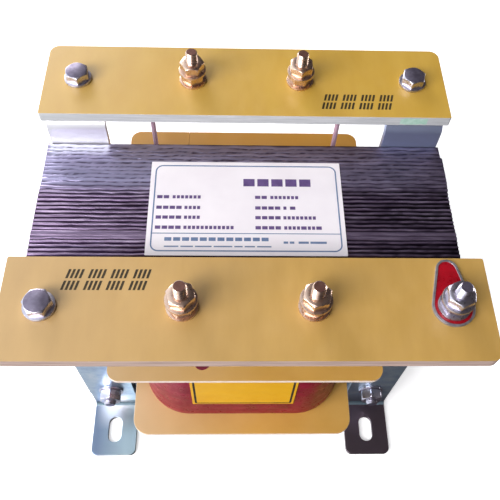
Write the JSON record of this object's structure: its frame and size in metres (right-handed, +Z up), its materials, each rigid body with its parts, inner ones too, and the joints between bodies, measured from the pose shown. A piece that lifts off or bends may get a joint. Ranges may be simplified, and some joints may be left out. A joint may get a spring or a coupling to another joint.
{
  "type": "control transformer",
  "caption": "Open frame control transformer: a red coil on a laminated steel core, clamped in folded slotted feet that carry insulating boards with brass stud terminals.",
  "frame": {"origin": "middle of the bounding box at the plane of the feet, which is the mounting panel's face", "axes": "+Z up out of the panel, +Y from the output board to the input board, +X to the right when the output board faces the viewer, with the earth terminal at the right front corner"},
  "size_m": [0.21, 0.178, 0.2315],
  "materials": {
    "core_steel": "satin, sheet edges bare and lightly oiled",
    "bobbin_plastic": "matte moulded plastic",
    "winding_copper": "enamelled wire, satin",
    "insulation": "matte insulating sheet and tube",
    "red_wrap": "varnished dark red wrap",
    "yellow_label": "blank yellow label, satin",
    "white_label": "white label with plain fields and rules, satin",
    "zinc_plate": "blue zinc plate, satin",
    "bolt_steel": "blue zinc plate, semi-gloss",
    "board_laminate": "tan epoxy laminate, satin",
    "terminal_brass": "turned brass, semi-gloss",
    "earth_tag_enamel": "crimson field in a pale rim",
    "tinned_copper": "tin plate, satin",
    "lead_sleeve": "pink sleeve, satin"
  },
  "bodies": {
    "root": {"board_bolts": "bolt_steel", "board_nuts": "bolt_steel", "board_spring_washers": "bolt_steel", "board_washers": "bolt_steel", "bobbin_flange_bottom": "bobbin_plastic", "bobbin_flange_top": "bobbin_plastic", "bobbin_tube": "bobbin_plastic", "bracket_front_left": "zinc_plate", "bracket_front_right": "zinc_plate", "bracket_rear_left": "zinc_plate", "bracket_rear_right": "zinc_plate", "coil_label": "yellow_label", "coil_wrap": "red_wrap", "core_bolts": "bolt_steel", "core_nuts": "bolt_steel", "core_washers": "bolt_steel", "e_laminations_inverted": "core_steel", "e_laminations_upright": "core_steel", "earth_nuts": "bolt_steel", "earth_stud": "bolt_steel", "earth_tag": "earth_tag_enamel", "earth_washers": "bolt_steel", "i_laminations_bottom": "core_steel", "i_laminations_top": "core_steel", "input_winding": "winding_copper", "lead_front_left": "lead_sleeve", "lead_front_right": "lead_sleeve", "lead_rear_left": "lead_sleeve", "lead_rear_right": "lead_sleeve", "lug_front_left": "tinned_copper", "lug_front_right": "tinned_copper", "lug_rear_left": "tinned_copper", "lug_rear_right": "tinned_copper", "output_winding": "winding_copper", "rating_label": "white_label", "terminal_board_front": "board_laminate", "terminal_board_rear": "board_laminate", "terminal_nuts": "terminal_brass", "terminal_studs": "terminal_brass", "terminal_washers": "terminal_brass", "winding_barrier": "insulation"}
  },
  "joints": []
}
